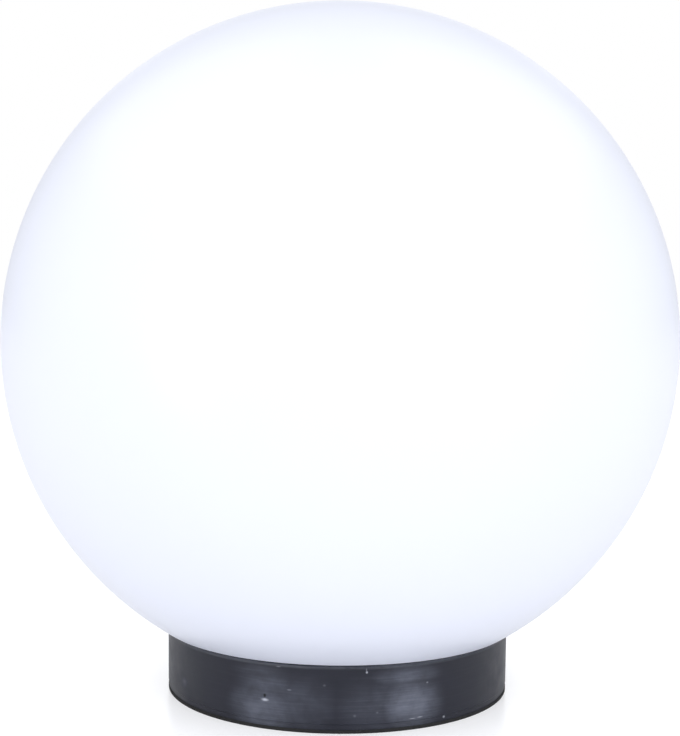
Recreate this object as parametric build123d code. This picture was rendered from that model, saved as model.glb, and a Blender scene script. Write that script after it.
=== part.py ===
from build123d import *
import math
import os

# Garden globe light: an opal ball on a low black collar that stands or is screwed down.
# Millimetres. Z is up, the light's axis is Z, and z = 0 is the underside of the foot gasket.

# ---------------------------------------------------------------- driving dimensions
# collar (base housing)
COLLAR_R = 64.15            # outside radius just below the rim
COLLAR_DRAFT = 0.10         # the foot is this much smaller in radius than the rim
COLLAR_WALL = 2.35
COLLAR_H = 22.4             # foot to rim
FLOOR_T = 2.5
RIM_ROUND = 1.2             # rounded outer edge of the rim
FOOT_STEP = 0.24            # shallow rebate round the foot
FOOT_STEP_H = 1.8
BOSS_TAPER = 0.6            # a boss is this much wider at its foot
RIB_COUNT = 12
RIB_T = 1.6
RIB_DEPTH = 2.4

# foot gasket
GASKET_T = 1.2
GASKET_W = 7.9
GASKET_INSET = 0.15

# bayonet between collar and globe
FLANGE_T = 2.2
LUG_COUNT = 3
LUG_ARC = 22.0              # degrees
LUG_T = 2.2
LUG_REACH = 3.5
LUG_LEAD = 1.0              # ramp cut from the leading top corner of each lug
LUG_RAMP = 30.0             # its slope in degrees
LUG_RADIAL_CLEAR = 0.5
LUG_SIDE_CLEAR = 2.0        # degrees each side of a lug in its notch
LUG_UNDER_CLEAR = 0.3
LOCK_TURN = 35.0            # degrees clockwise from open to locked
STOP_ARC = 4.0              # degrees
STOP_CLEAR = 1.0            # degrees past a locked lug, and past the notch's edge
STOP_DROP = 2.6
STOP_SETBACK = 0.6          # stops stand back from the flange's inner edge
NECK_CLEAR = 0.5
NECK_TAIL = 0.7             # neck below its lugs

# globe seal
SEAL_W = 1.9
SEAL_T = 2.4
SEAL_CLEAR = 0.3
SEAL_EDGE = 0.5
NOTCH_TO_SEAL = 0.6

# globe
GLOBE_D = 250.0
GLOBE_WALL = 2.0
GLOBE_EDGE_R = 4.0          # moulded edge between the ball and its flat shoulder
SHOULDER_OVERHANG = 0.3     # flat shoulder past the collar's side
SHOULDER_GAP = 0.3          # shoulder above the rim
NECK_ROOT_R = 1.0

# floor openings
SLOT_W = 5.2                # two slots for the screws that hold the light down
SLOT_LENGTH = 10.0
SLOT_MARGIN = 5.0
DRAIN_R = 2.0
DRAIN_CIRCLE_R = 46.0
DRAIN_ANGLES = (45.0, 135.0)

# cable grommet
GROMMET_BORE_R = 3.6
GROMMET_WALL = 2.9
GROMMET_LIP = 2.0
GROMMET_LIP_T = 1.0
GROMMET_TOP_T = 1.5
GROMMET_EDGE = 0.6          # slope of the lower lip
GROMMET_TAPER = 0.8         # slope of the upper lip
GROMMET_MARGIN = 1.5
GROMMET_ANGLE = 225.0

# bracket that carries the lampholder
BRACKET_T = 1.5
BRACKET_W = 18.0
BRACKET_SPAN = 60.0         # between its two screws
BRACKET_FOOT = 12.0         # length of each flat foot
BRACKET_FLAT = 36.0         # length of the raised middle
BRACKET_RISE = 6.5
BRACKET_BEND_R = 2.5
BOSS_R = 4.2
BOSS_H = 6.0
SCREW_R = 1.8
SCREW_L = 7.0
SCREW_HEAD_R = 3.6
SCREW_HEAD_H = 2.2
SCREW_CLEAR = 0.05
SCREW_PILOT = 0.5           # pilot hole past the screw's end
HEAD_CROWN = 0.35           # share of a screw head's height that is domed
BRACKET_HOLE_CLEAR = 0.4

# hollow nipple, nut and washer under the lampholder
NIPPLE_R = 5.0
NIPPLE_BORE_R = 3.8
NIPPLE_ABOVE = 4.3          # above the bracket
NIPPLE_BELOW = 4.7          # below the bracket
NUT_AF = 14.0               # across the flats
NUT_T = 3.0
WASHER_R = 8.0
WASHER_T = 0.8
THREAD_CLEAR = 0.05

# lampholder
HOLDER_R = 19.0
HOLDER_WALL = 2.0
HOLDER_CAP_H = 18.3
HOLDER_BOSS_R = 9.5
HOLDER_BOSS_H = 2.8
HOLDER_CAP_FLOOR = 3.8      # thickness round the nipple
HOLDER_DOME_H = 6.5
SKIRT_TOP_R = 20.0
SKIRT_DEPTH = 25.0          # rim of the skirt above the bulb's contact tip
SKIRT_ROUND = 1.0
INSERT_SEAT = 3.0           # depth of the insert's flange inside the cap
INSERT_T = 5.0
INSERT_CLEAR = 0.2
INSERT_LEDGE = 1.2
INSERT_BOSS_GAP = 0.5       # insert's boss inside the metal shell's foot
INSERT_BOSS_H = 3.0
TOWER_X = 9.0
TOWER_W = 7.0
TOWER_D = 9.0
TOWER_H = 5.0
TERMINAL_SCREW_R = 1.6
GRUB_GAP = 0.2              # terminal screw to its wire
GRUB_SINK = 0.1             # terminal screw below the tower's face
CAP_CLEAR = 0.3             # bulb's cap inside the metal shell
SHELL_T = 0.5
SHELL_LIP = 2.3
SHELL_SHORT = 4.0           # shell ends this far below the skirt's rim
SHELL_CLEAR = 0.3
STRIP_T = 0.5               # contact strips
STRIP_W = 5.0
STRIP_CLEAR = 0.2
STRIP_TAIL = 1.0            # strips end this far above the towers' feet
STRIP_BEND_R = 0.4
CONTACT_ARCH = 1.2
CONTACT_GAP = 0.3           # bulb tip above the centre contact

# bulb
BULB_L = 110.0
BULB_D = 60.0
BULB_CAP_R = 13.0
BULB_CAP_L = 27.0
BULB_CAP_T = 0.4
BULB_TIP_R = 4.8
BULB_TIP_H = 1.2
BULB_TIP_LEDGE = 0.7        # insulator round the tip
BULB_INSULATOR_H = 3.8
BULB_INSULATOR_PLUG = 1.0   # insulator inside the cap
BULB_CAP_CURL = 1.4
BULB_SPIGOT_CLEAR = 0.4
BULB_SPIGOT_L = 16.0
BULB_SEAM_DROP = 14.0       # joint of dome and housing below the dome's centre
BULB_WAIST_PULL = 0.35      # how far the housing keeps to its waist's direction
BULB_RIM_PULL = 0.3         # how far it keeps to the dome's
BULB_INNER_PULL = 0.25
BULB_SHELL_T = 1.6
BULB_DOME_T = 1.2
BULB_GAP = 0.3              # housing above the cap
LED_BOARD_T = 1.6
LED_BOARD_SEAT = 2.5        # board's underside below the housing's rim
LED_BOARD_CLEAR = 0.2
LED_LEDGE = 1.7
LED_RING_R = 15.0
LED_COUNT = 9
LED_W = 2.8
LED_L = 3.5
LED_T = 0.7
DRIVER_T = 1.2
DRIVER_W = 18.0
DRIVER_TAIL = 14.0          # driver board below the top of the bulb's cap
CAPACITOR_R = 4.0
CAPACITOR_L = 12.0
CAPACITOR_CLEAR = 0.1
CAPACITOR_DROP = 9.0        # top of the capacitor below the LED board

# terminal block
POLE_PITCH = 10.0
POLE_COUNT = 3
BLOCK_D = 16.0
BLOCK_H = 9.0
BLOCK_GAP = 9.0             # between block and bracket
BLOCK_PAD_H = 1.5
BLOCK_EDGE = 0.8
WELL_R = 3.4
WELL_H = 3.5
WELL_SPACING = 7.6
TUBE_R = 2.4
TUBE_BORE_R = 1.7
TUBE_L = 14.0
TUBE_RISE = 5.0
CLAMP_SCREW_R = 1.4
CLAMP_SCREW_L = 5.4
FIXING_SCREW_R = 1.2
FIXING_HEAD_R = 2.2
FIXING_HEAD_H = 1.4
FIXING_SINK = 0.6           # its head below the block's top
FIXING_BITE = 2.6           # its length in the floor
FIXING_PILOT = 0.3

# internal wires and the earth joint
WIRE_R = 1.1
WIRE_SPREAD = 1.5           # half the distance between the two wires in the nipple
WIRE_GRIP = 3.0             # wire inside a terminal tube
WIRE_HOLE_CLEAR = 0.3
BEND_SHARE = 0.45           # most of a straight run that one bend may take
EYELET_R = 4.0
EYELET_T = 0.8
EYELET_BARREL_R = 1.6
EYELET_BARREL_L = 4.0
EYELET_GAP = 0.7             # between the holder's boss and the eyelet
EARTH_SCREW_R = 1.9
EARTH_SCREW_L = 5.0
EARTH_HEAD_R = 3.2
EARTH_HEAD_H = 2.0

# modelling
LAP = 0.5                   # joined forms run this far into each other
CUT = 1.0                   # cutting forms run this far past a face

# ---------------------------------------------------------------- places worked out from them
cavity_r = COLLAR_R - COLLAR_WALL
seal_out_r = cavity_r - SEAL_CLEAR
seal_in_r = seal_out_r - SEAL_W
notch_r = seal_in_r - NOTCH_TO_SEAL
lug_r = notch_r - LUG_RADIAL_CLEAR
neck_r = lug_r - LUG_REACH
neck_in_r = neck_r - GLOBE_WALL
flange_r = neck_r + NECK_CLEAR

foot_z = GASKET_T
floor_z = foot_z + FLOOR_T
rim_z = foot_z + COLLAR_H
shoulder_z = rim_z + SHOULDER_GAP
seal_top_z = shoulder_z - SEAL_CLEAR
seal_z = seal_top_z - SEAL_T
flange_top_z = seal_z - SEAL_CLEAR
flange_z = flange_top_z - FLANGE_T
lug_top_z = flange_z - LUG_UNDER_CLEAR
lug_z = lug_top_z - LUG_T
neck_z = lug_z - NECK_TAIL

globe_r = GLOBE_D / 2
shoulder_r = COLLAR_R + SHOULDER_OVERHANG
edge_centre_z = shoulder_z + GLOBE_EDGE_R
edge_angle = math.acos(shoulder_r / (globe_r - GLOBE_EDGE_R))
globe_z = edge_centre_z + (globe_r - GLOBE_EDGE_R) * math.sin(edge_angle)

gasket_out_r = COLLAR_R - GASKET_INSET
gasket_in_r = gasket_out_r - GASKET_W
slot_x = gasket_in_r - SLOT_MARGIN - SLOT_LENGTH / 2
grommet_r = GROMMET_BORE_R + GROMMET_WALL
grommet_lip_r = grommet_r + GROMMET_LIP
grommet_place = Rot(0, 0, GROMMET_ANGLE) * Pos(gasket_in_r - GROMMET_MARGIN - grommet_lip_r, 0, 0)

boss_top_z = floor_z + BOSS_H
bracket_z = boss_top_z + BRACKET_RISE
bracket_top_z = bracket_z + BRACKET_T

holder_joint_z = bracket_top_z + HOLDER_CAP_H
insert_z = holder_joint_z - INSERT_SEAT
insert_top_z = insert_z + INSERT_T
insert_r = HOLDER_R - HOLDER_WALL - INSERT_CLEAR
shell_r = BULB_CAP_R + CAP_CLEAR
shell_lip_r = shell_r - SHELL_LIP
insert_boss_r = shell_lip_r - INSERT_BOSS_GAP
shell_z = insert_top_z + STRIP_T
contact_z = insert_top_z + INSERT_BOSS_H
tip_z = contact_z + STRIP_T + CONTACT_ARCH + CONTACT_GAP
skirt_top_z = tip_z + SKIRT_DEPTH
tower_z = insert_z - TOWER_H
earth_x = HOLDER_BOSS_R + EYELET_GAP + EYELET_R
strip_x = TOWER_X - 2 * WIRE_R

cap_top_z = tip_z + BULB_CAP_L
cap_z = tip_z + BULB_TIP_H + BULB_INSULATOR_H
bulb_r = BULB_D / 2
dome_z = tip_z + BULB_L - bulb_r
seam_z = dome_z - BULB_SEAM_DROP
seam_r = math.sqrt(bulb_r**2 - BULB_SEAM_DROP**2)
led_z = seam_z - LED_BOARD_SEAT
led_seat_r = seam_r - BULB_SHELL_T - LED_BOARD_SEAT * BULB_SEAM_DROP / seam_r

block_w = POLE_COUNT * POLE_PITCH
block_y = -(BRACKET_W / 2 + BLOCK_GAP + BLOCK_D / 2)
block_z = floor_z + BLOCK_PAD_H
tube_z = block_z + TUBE_RISE
pole_x = [POLE_PITCH * (i - (POLE_COUNT - 1) / 2) for i in range(POLE_COUNT)]
fixing_x = pole_x[-1] - POLE_PITCH / 2
fixing_seat_z = block_z + BLOCK_H - FIXING_HEAD_H - FIXING_SINK


# ---------------------------------------------------------------- helpers
def turned(*lines, arc=360.0):
    """A solid turned about Z from a closed outline in radius and height."""
    return revolve(Plane.XZ * make_face(Curve() + list(lines)), Axis.Z, arc)


def turned_points(*points, arc=360.0):
    """A turned solid with a straight-sided outline."""
    return turned(Polyline(*points, close=True), arc=arc)


def tube(outer_r, inner_r, low, high):
    """A ring about Z between two heights."""
    return turned_points((inner_r, low), (outer_r, low), (outer_r, high), (inner_r, high))


def sector(inner_r, outer_r, low, high, start, arc):
    """A piece of a ring, from a start angle in degrees."""
    section = [(inner_r, low), (outer_r, low), (outer_r, high), (inner_r, high)]
    return Rot(0, 0, start) * turned_points(*section, arc=arc)


def post(radius, low, high, x=0.0, y=0.0):
    """An upright cylinder between two heights."""
    return Pos(x, y, (low + high) / 2) * Cylinder(radius, high - low)


def block(width, depth, low, high, x=0.0, y=0.0):
    """An upright box between two heights."""
    return Pos(x, y, (low + high) / 2) * Box(width, depth, high - low)


def screw(x, y, seat, head_r, head_h, shank_r, shank_l):
    """A domed screw whose head sits at the seat height."""
    crown = head_h * HEAD_CROWN
    edge_z = seat + head_h - crown
    sphere_r = (head_r**2 + crown**2) / (2 * crown)
    middle_z = seat + head_h - sphere_r + math.sqrt(sphere_r**2 - head_r**2 / 4)
    end_z = seat - shank_l
    outline = [
        Polyline((0, end_z), (shank_r, end_z), (shank_r, seat), (head_r, seat), (head_r, edge_z)),
        ThreePointArc((head_r, edge_z), (head_r / 2, middle_z), (0, seat + head_h)),
        Line((0, seat + head_h), (0, end_z)),
    ]
    return Pos(x, y, 0) * turned(*outline)


def arc_point(centre_r, centre_z, radius, angle):
    """A point of an outline on a circle, with the angle measured down from level."""
    return (centre_r + radius * math.cos(angle), centre_z - radius * math.sin(angle))


def routed(points, radius):
    """A round wire along straight runs joined by arcs as large as the runs allow."""
    corners = []
    for before, here, after in zip(points, points[1:], points[2:]):
        run_in = Vector(here) - Vector(before)
        run_out = Vector(after) - Vector(here)
        half_turn = math.radians(run_in.get_angle(run_out)) / 2
        corners.append(BEND_SHARE * min(run_in.length, run_out.length) / math.tan(half_turn))
    path = FilletPolyline(*points, radius=corners)
    return sweep(Plane(path @ 0, z_dir=path % 0) * Circle(radius), path=path)


def ring_of(count, shape, start=0.0):
    """Copies of a shape evenly round Z."""
    return [Rot(0, 0, start + 360 / count * i) * shape for i in range(count)]


# ---------------------------------------------------------------- collar
def base_housing():
    """Moulded cup: wall, floor, bayonet flange, stops, ribs, bosses and floor openings."""
    foot_r = COLLAR_R - COLLAR_DRAFT
    step_z = foot_z + FOOT_STEP_H
    wall = turned(
        Polyline(
            (0, foot_z),
            (foot_r - FOOT_STEP, foot_z),
            (foot_r - FOOT_STEP, step_z),
            (foot_r, step_z + FOOT_STEP),
            (COLLAR_R, rim_z - RIM_ROUND),
        ),
        ThreePointArc(
            (COLLAR_R, rim_z - RIM_ROUND),
            arc_point(COLLAR_R - RIM_ROUND, rim_z - RIM_ROUND, RIM_ROUND, -math.pi / 4),
            (COLLAR_R - RIM_ROUND, rim_z),
        ),
        Polyline(
            (COLLAR_R - RIM_ROUND, rim_z),
            (cavity_r, rim_z),
            (cavity_r, flange_top_z),
            (flange_r, flange_top_z),
            (flange_r, flange_z),
            (cavity_r, flange_z),
            (cavity_r, floor_z),
            (0, floor_z),
            (0, foot_z),
        ),
    )
    notch_arc = LUG_ARC + 2 * LUG_SIDE_CLEAR
    notch = sector(flange_r - CUT, notch_r, flange_z - CUT, flange_top_z + CUT, -notch_arc / 2, notch_arc)
    wall -= ring_of(LUG_COUNT, notch)

    stop_z = flange_z - STOP_DROP
    lock_end = -LOCK_TURN - LUG_ARC / 2 - STOP_CLEAR - STOP_ARC
    open_end = notch_arc / 2 + STOP_CLEAR
    for start in (lock_end, open_end):
        stop = sector(flange_r + STOP_SETBACK, cavity_r + LAP, stop_z, flange_z + LAP, start, STOP_ARC)
        wall += ring_of(LUG_COUNT, stop)

    rib_x = cavity_r - RIB_DEPTH / 2 + LAP / 2
    rib = block(RIB_DEPTH + LAP, RIB_T, floor_z - LAP, flange_z + LAP, rib_x)
    wall += ring_of(RIB_COUNT, rib, 180 / RIB_COUNT)

    for side in (-1, 1):
        boss_x = side * BRACKET_SPAN / 2
        boss = turned_points(
            (0, floor_z - LAP),
            (BOSS_R + BOSS_TAPER, floor_z - LAP),
            (BOSS_R, boss_top_z),
            (0, boss_top_z),
        )
        wall += Pos(boss_x, 0, 0) * boss
        pilot_z = boss_top_z + BRACKET_T - SCREW_L - SCREW_PILOT
        wall -= post(SCREW_R + SCREW_CLEAR, pilot_z, boss_top_z + CUT, boss_x)

    wall += block(block_w, BLOCK_D, floor_z - LAP, block_z, 0, block_y)
    pilot_z = block_z - FIXING_BITE - FIXING_PILOT
    wall -= post(FIXING_SCREW_R + SCREW_CLEAR, pilot_z, block_z + CUT, fixing_x, block_y)

    slot = Pos(0, 0, foot_z - CUT) * extrude(SlotOverall(SLOT_LENGTH, SLOT_W), FLOOR_T + 2 * CUT)
    for side in (-1, 1):
        wall -= Pos(side * slot_x, 0, 0) * slot
    wall -= grommet_place * post(grommet_r, foot_z - CUT, floor_z + CUT)
    for angle in DRAIN_ANGLES:
        drain = post(DRAIN_R, foot_z - CUT, floor_z + CUT, DRAIN_CIRCLE_R)
        wall -= Rot(0, 0, angle) * drain
    return wall


def base_gasket():
    """Foam ring under the foot."""
    return tube(gasket_out_r, gasket_in_r, 0, foot_z)


def cable_grommet():
    """Rubber bush with a groove for the floor."""
    bush = turned_points(
        (GROMMET_BORE_R, foot_z - GROMMET_LIP_T),
        (grommet_lip_r - GROMMET_EDGE, foot_z - GROMMET_LIP_T),
        (grommet_lip_r, foot_z),
        (grommet_r, foot_z),
        (grommet_r, floor_z),
        (grommet_lip_r, floor_z),
        (grommet_lip_r - GROMMET_TAPER, floor_z + GROMMET_TOP_T),
        (GROMMET_BORE_R, floor_z + GROMMET_TOP_T),
    )
    return grommet_place * bush


# ---------------------------------------------------------------- globe and seal
def globe():
    """Ball, rounded edge, flat shoulder and neck as one moulding, with its bayonet lugs."""
    inner_r = globe_r - GLOBE_WALL
    inner_edge_r = GLOBE_EDGE_R - GLOBE_WALL
    low_z = edge_centre_z - GLOBE_EDGE_R
    half_way = (edge_angle + math.pi / 2) / 2
    ball_end = arc_point(0, globe_z, globe_r, edge_angle)
    inner_end = arc_point(0, globe_z, inner_r, edge_angle)
    root = NECK_ROOT_R
    body = turned(
        ThreePointArc((0, globe_z + globe_r), (globe_r, globe_z), ball_end),
        ThreePointArc(
            ball_end,
            arc_point(shoulder_r, edge_centre_z, GLOBE_EDGE_R, half_way),
            (shoulder_r, low_z),
        ),
        Line((shoulder_r, low_z), (neck_r + root, low_z)),
        ThreePointArc(
            (neck_r + root, low_z),
            (neck_r + root * (1 - math.sqrt(0.5)), low_z - root * (1 - math.sqrt(0.5))),
            (neck_r, low_z - root),
        ),
        Polyline(
            (neck_r, low_z - root),
            (neck_r, neck_z),
            (neck_in_r, neck_z),
            (neck_in_r, low_z + GLOBE_WALL),
            (shoulder_r, low_z + GLOBE_WALL),
        ),
        ThreePointArc(
            (shoulder_r, low_z + GLOBE_WALL),
            arc_point(shoulder_r, edge_centre_z, inner_edge_r, half_way),
            inner_end,
        ),
        ThreePointArc(inner_end, (inner_r, globe_z), (0, globe_z + inner_r)),
        Line((0, globe_z + inner_r), (0, globe_z + globe_r)),
    )
    lug = sector(neck_r - GLOBE_WALL / 2, lug_r, lug_z, lug_top_z, -LUG_ARC / 2, LUG_ARC)
    ramp_place = Rot(0, 0, -LUG_ARC / 2) * Pos(lug_r, 0, lug_top_z) * Rot(-LUG_RAMP, 0, 0)
    ramp = ramp_place * Box(4 * LUG_REACH, 8 * LUG_LEAD, 2 * LUG_LEAD)
    return body + ring_of(LUG_COUNT, lug - ramp)


def globe_seal():
    """Ring that the globe's shoulder closes on."""
    edge = SEAL_EDGE
    return turned_points(
        (seal_in_r, seal_z),
        (seal_out_r, seal_z),
        (seal_out_r, seal_top_z - edge),
        (seal_out_r - edge, seal_top_z),
        (seal_in_r + edge, seal_top_z),
        (seal_in_r, seal_top_z - edge),
    )


# ---------------------------------------------------------------- bracket, nipple, fixings
def lampholder_bracket():
    """Bent steel strip with a raised middle."""
    mid_foot = boss_top_z + BRACKET_T / 2
    mid_top = bracket_z + BRACKET_T / 2
    end_x = BRACKET_SPAN / 2 + BRACKET_FOOT / 2
    heel_x = BRACKET_SPAN / 2 - BRACKET_FOOT / 2
    line = FilletPolyline(
        (-end_x, mid_foot),
        (-heel_x, mid_foot),
        (-BRACKET_FLAT / 2, mid_top),
        (BRACKET_FLAT / 2, mid_top),
        (heel_x, mid_foot),
        (end_x, mid_foot),
        radius=BRACKET_BEND_R,
    )
    section = Plane.XZ * trace(line, BRACKET_T)
    strip = extrude(section, BRACKET_W / 2, both=True)
    strip -= post(NIPPLE_R + THREAD_CLEAR, bracket_z - CUT, bracket_top_z + CUT)
    strip -= post(EARTH_SCREW_R + THREAD_CLEAR, bracket_z - CUT, bracket_top_z + CUT, earth_x)
    hole_r = SCREW_R + BRACKET_HOLE_CLEAR
    for side in (-1, 1):
        strip -= post(hole_r, boss_top_z - CUT, boss_top_z + BRACKET_T + CUT, side * BRACKET_SPAN / 2)
    return strip


def bracket_screws():
    """Two screws into the collar's bosses."""
    seat = boss_top_z + BRACKET_T
    places = (-BRACKET_SPAN / 2, BRACKET_SPAN / 2)
    return [screw(x, 0, seat, SCREW_HEAD_R, SCREW_HEAD_H, SCREW_R, SCREW_L) for x in places]


def holder_nipple():
    """Hollow threaded tube between bracket and lampholder."""
    return tube(NIPPLE_R, NIPPLE_BORE_R, bracket_z - NIPPLE_BELOW, bracket_top_z + NIPPLE_ABOVE)


def nipple_nut():
    """Thin hexagon nut."""
    top = bracket_z - WASHER_T
    hexagon = RegularPolygon(NUT_AF / 2, 6, major_radius=False)
    nut = Pos(0, 0, top - NUT_T) * extrude(hexagon, NUT_T)
    return nut - post(NIPPLE_R + THREAD_CLEAR, top - NUT_T - CUT, top + CUT)


def nipple_washer():
    """Washer between bracket and nut."""
    return tube(WASHER_R, NIPPLE_R + THREAD_CLEAR, bracket_z - WASHER_T, bracket_z)


def earth_eyelet():
    """Ring terminal with its barrel, under the earth screw."""
    top = bracket_top_z + EYELET_T
    eyelet = tube(EYELET_R, EARTH_SCREW_R + THREAD_CLEAR, bracket_top_z, top)
    tongue_l = EYELET_R + EYELET_BARREL_L / 2 - EARTH_HEAD_R
    tongue = block(EYELET_R, tongue_l, bracket_top_z, top, 0, -EARTH_HEAD_R - tongue_l / 2)
    along = Pos(0, -EYELET_R - EYELET_BARREL_L / 2, bracket_top_z + EYELET_BARREL_R) * Rot(90, 0, 0)
    barrel = along * Cylinder(EYELET_BARREL_R, EYELET_BARREL_L)
    bore = along * Cylinder(WIRE_R, 2 * EYELET_BARREL_L)
    return Pos(earth_x, 0, 0) * (eyelet + (tongue - bore) + (barrel - bore))


def earth_screw():
    """Screw that clamps the earth eyelet to the bracket."""
    seat = bracket_top_z + EYELET_T
    return screw(earth_x, 0, seat, EARTH_HEAD_R, EARTH_HEAD_H, EARTH_SCREW_R, EARTH_SCREW_L)


# ---------------------------------------------------------------- lampholder
def holder_cap():
    """Lower half of the lampholder, screwed on the nipple."""
    low = bracket_top_z
    inner_r = HOLDER_R - HOLDER_WALL
    ledge_r = inner_r - INSERT_LEDGE
    dome_low = low + HOLDER_BOSS_H
    dome_high = dome_low + HOLDER_DOME_H
    floor = low + HOLDER_CAP_FLOOR
    return turned(
        Polyline(
            (NIPPLE_R + THREAD_CLEAR, low),
            (HOLDER_BOSS_R, low),
            (HOLDER_BOSS_R, dome_low),
        ),
        EllipticalCenterArc(
            (HOLDER_BOSS_R, dome_high),
            HOLDER_R - HOLDER_BOSS_R,
            HOLDER_DOME_H,
            start_angle=-90,
            arc_size=90,
        ),
        Polyline(
            (HOLDER_R, dome_high),
            (HOLDER_R, holder_joint_z),
            (inner_r, holder_joint_z),
            (inner_r, insert_z),
            (ledge_r, insert_z),
            (ledge_r, dome_high),
            (HOLDER_BOSS_R, floor),
            (NIPPLE_R + THREAD_CLEAR, floor),
            (NIPPLE_R + THREAD_CLEAR, low),
        ),
    )


def holder_insert():
    """Insulating disc with two terminal towers below and a raised boss above."""
    disc = post(insert_r, insert_z, insert_top_z)
    disc += post(insert_boss_r, insert_top_z - LAP, contact_z)
    for side in (-1, 1):
        disc += block(TOWER_W, TOWER_D, tower_z, insert_z + LAP, side * TOWER_X)
        disc -= post(WIRE_R + WIRE_HOLE_CLEAR, tower_z - CUT, insert_z + LAP, side * TOWER_X)
        bore_x = side * (TOWER_X + TOWER_W / 2)
        bore = Pos(bore_x, 0, (tower_z + insert_z) / 2) * Rot(0, 90, 0)
        disc -= bore * Cylinder(TERMINAL_SCREW_R + SCREW_CLEAR, TOWER_W - 2 * WIRE_R)
    slot_t = STRIP_T + 2 * STRIP_CLEAR
    slot_w = STRIP_W + 2 * STRIP_CLEAR
    disc -= block(shell_r, slot_w, insert_top_z, shell_z + STRIP_CLEAR, -shell_r / 2 - STRIP_T)
    for side in (-1, 1):
        disc -= block(slot_t, slot_w, tower_z - CUT, contact_z + CUT, side * strip_x)
    return disc


def holder_shell():
    """Metal sleeve that the bulb's cap screws into, with a turned-in foot."""
    top = skirt_top_z - SHELL_SHORT
    outer_r = shell_r + SHELL_T
    return turned_points(
        (shell_lip_r, shell_z),
        (outer_r, shell_z),
        (outer_r, top),
        (shell_r, top),
        (shell_r, shell_z + SHELL_T),
        (shell_lip_r, shell_z + SHELL_T),
    )


def holder_skirt():
    """Upper sleeve of the lampholder."""
    inner_r = shell_r + SHELL_T + SHELL_CLEAR
    seat_r = HOLDER_R - HOLDER_WALL
    return turned(
        Polyline(
            (seat_r, holder_joint_z),
            (HOLDER_R, holder_joint_z),
            (SKIRT_TOP_R, skirt_top_z - SKIRT_ROUND),
        ),
        ThreePointArc(
            (SKIRT_TOP_R, skirt_top_z - SKIRT_ROUND),
            arc_point(SKIRT_TOP_R - SKIRT_ROUND, skirt_top_z - SKIRT_ROUND, SKIRT_ROUND, -math.pi / 4),
            (SKIRT_TOP_R - SKIRT_ROUND, skirt_top_z),
        ),
        Polyline(
            (SKIRT_TOP_R - SKIRT_ROUND, skirt_top_z),
            (inner_r, skirt_top_z),
            (inner_r, insert_top_z),
            (seat_r, insert_top_z),
            (seat_r, holder_joint_z),
        ),
    )


def centre_contact():
    """Spring strip from one terminal up through the insert and over its boss."""
    mid = contact_z + STRIP_T / 2
    line = FilletPolyline(
        (strip_x, tower_z + STRIP_TAIL),
        (strip_x, mid),
        (BULB_TIP_R, mid),
        (BULB_TIP_R / 2, mid + CONTACT_ARCH),
        (-BULB_TIP_R / 2, mid + CONTACT_ARCH),
        (-BULB_TIP_R, mid),
        radius=STRIP_BEND_R,
    )
    return extrude(Plane.XZ * trace(line, STRIP_T), STRIP_W / 2, both=True)


def side_contact():
    """Strip from the other terminal to the foot of the metal shell."""
    leg = block(STRIP_T, STRIP_W, tower_z + STRIP_TAIL, shell_z, -strip_x)
    tongue_mid_x = -(shell_r + strip_x) / 2
    tongue = block(shell_r - strip_x, STRIP_W, insert_top_z, shell_z, tongue_mid_x)
    return leg + tongue


def holder_terminal_screws():
    """Grub screws of the two terminals, reached from the sides."""
    level = (tower_z + insert_z) / 2
    length = TOWER_W / 2 - WIRE_R - GRUB_GAP - GRUB_SINK
    screws = []
    for side in (-1, 1):
        middle = side * (TOWER_X + WIRE_R + GRUB_GAP + length / 2)
        screws.append(Pos(middle, 0, level) * Rot(0, 90, 0) * Cylinder(TERMINAL_SCREW_R, length))
    return screws


# ---------------------------------------------------------------- bulb
def bulb_cap():
    """Metal screw cap; its thread is as wide as this sleeve."""
    inner_r = BULB_CAP_R - BULB_CAP_T
    curl_r = BULB_CAP_R - BULB_CAP_CURL
    return turned_points(
        (curl_r, cap_z),
        (BULB_CAP_R, cap_z + BULB_CAP_CURL),
        (BULB_CAP_R, cap_top_z),
        (inner_r, cap_top_z),
        (inner_r, cap_z + BULB_CAP_CURL),
        (curl_r - BULB_CAP_T, cap_z + BULB_CAP_T / 2),
        (curl_r - BULB_CAP_T, cap_z),
    )


def bulb_insulator():
    """Insulating cone between cap and tip."""
    low = tip_z + BULB_TIP_H
    top = cap_z + BULB_INSULATOR_PLUG
    curl_r = BULB_CAP_R - BULB_CAP_CURL - BULB_CAP_T
    return turned_points(
        (0, low),
        (BULB_TIP_R + BULB_TIP_LEDGE, low),
        (curl_r, cap_z),
        (curl_r, top),
        (0, top),
    )


def bulb_contact():
    """Tip contact."""
    low = tip_z
    high = tip_z + BULB_TIP_H
    return turned(
        ThreePointArc(
            (0, low),
            (BULB_TIP_R * 0.6, low + BULB_TIP_H * 0.16),
            (BULB_TIP_R, low + BULB_TIP_H * 0.5),
        ),
        Polyline((BULB_TIP_R, low + BULB_TIP_H * 0.5), (BULB_TIP_R, high), (0, high), (0, low)),
    )


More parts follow.
